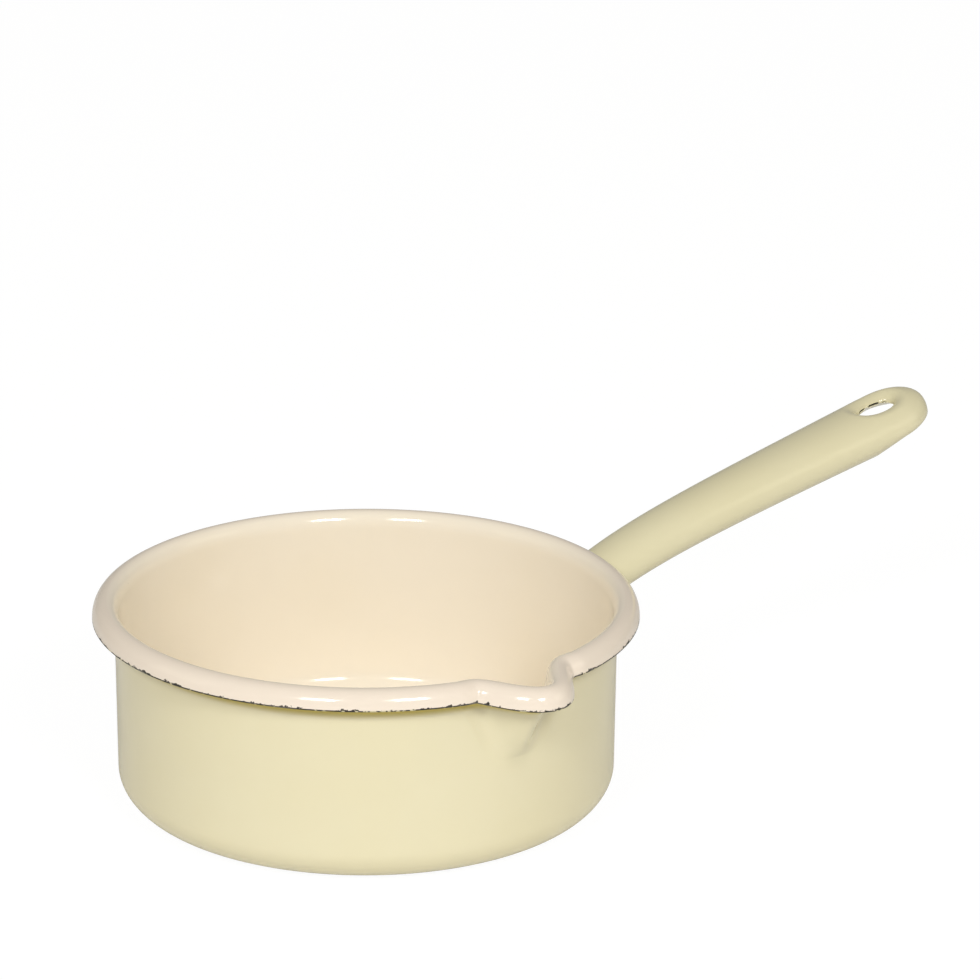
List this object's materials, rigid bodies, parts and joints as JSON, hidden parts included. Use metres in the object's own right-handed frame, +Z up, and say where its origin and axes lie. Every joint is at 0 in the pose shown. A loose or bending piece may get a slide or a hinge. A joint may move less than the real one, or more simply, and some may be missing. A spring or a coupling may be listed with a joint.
{
  "type": "saucepan",
  "caption": "Low round enamelled steel saucepan with a rolled rim, a pouring lip at one side and a long hollow handle with an oval hanging eye.",
  "frame": {"origin": "middle of the flat standing face, on the floor", "axes": "+Z up; +X along the handle, from the vessel's axis to the tip; the pouring lip points along -Y"},
  "size_m": [0.324, 0.1916, 0.096],
  "materials": {
    "steel": "pickled sheet steel, all under enamel",
    "cream_enamel": "glossy cream cover enamel",
    "yellow_enamel": "glossy pastel yellow cover enamel",
    "ground_enamel": "dark ground coat, slightly rough"
  },
  "bodies": {
    "root": {"vessel": "steel", "lining": "cream_enamel", "coat": "yellow_enamel", "foot_coat": "yellow_enamel", "rim_edge": "ground_enamel", "handle_top": "steel", "handle_bottom": "steel", "handle_coat": "yellow_enamel", "root_weld": "yellow_enamel", "eye_seam": "ground_enamel"}
  },
  "joints": []
}
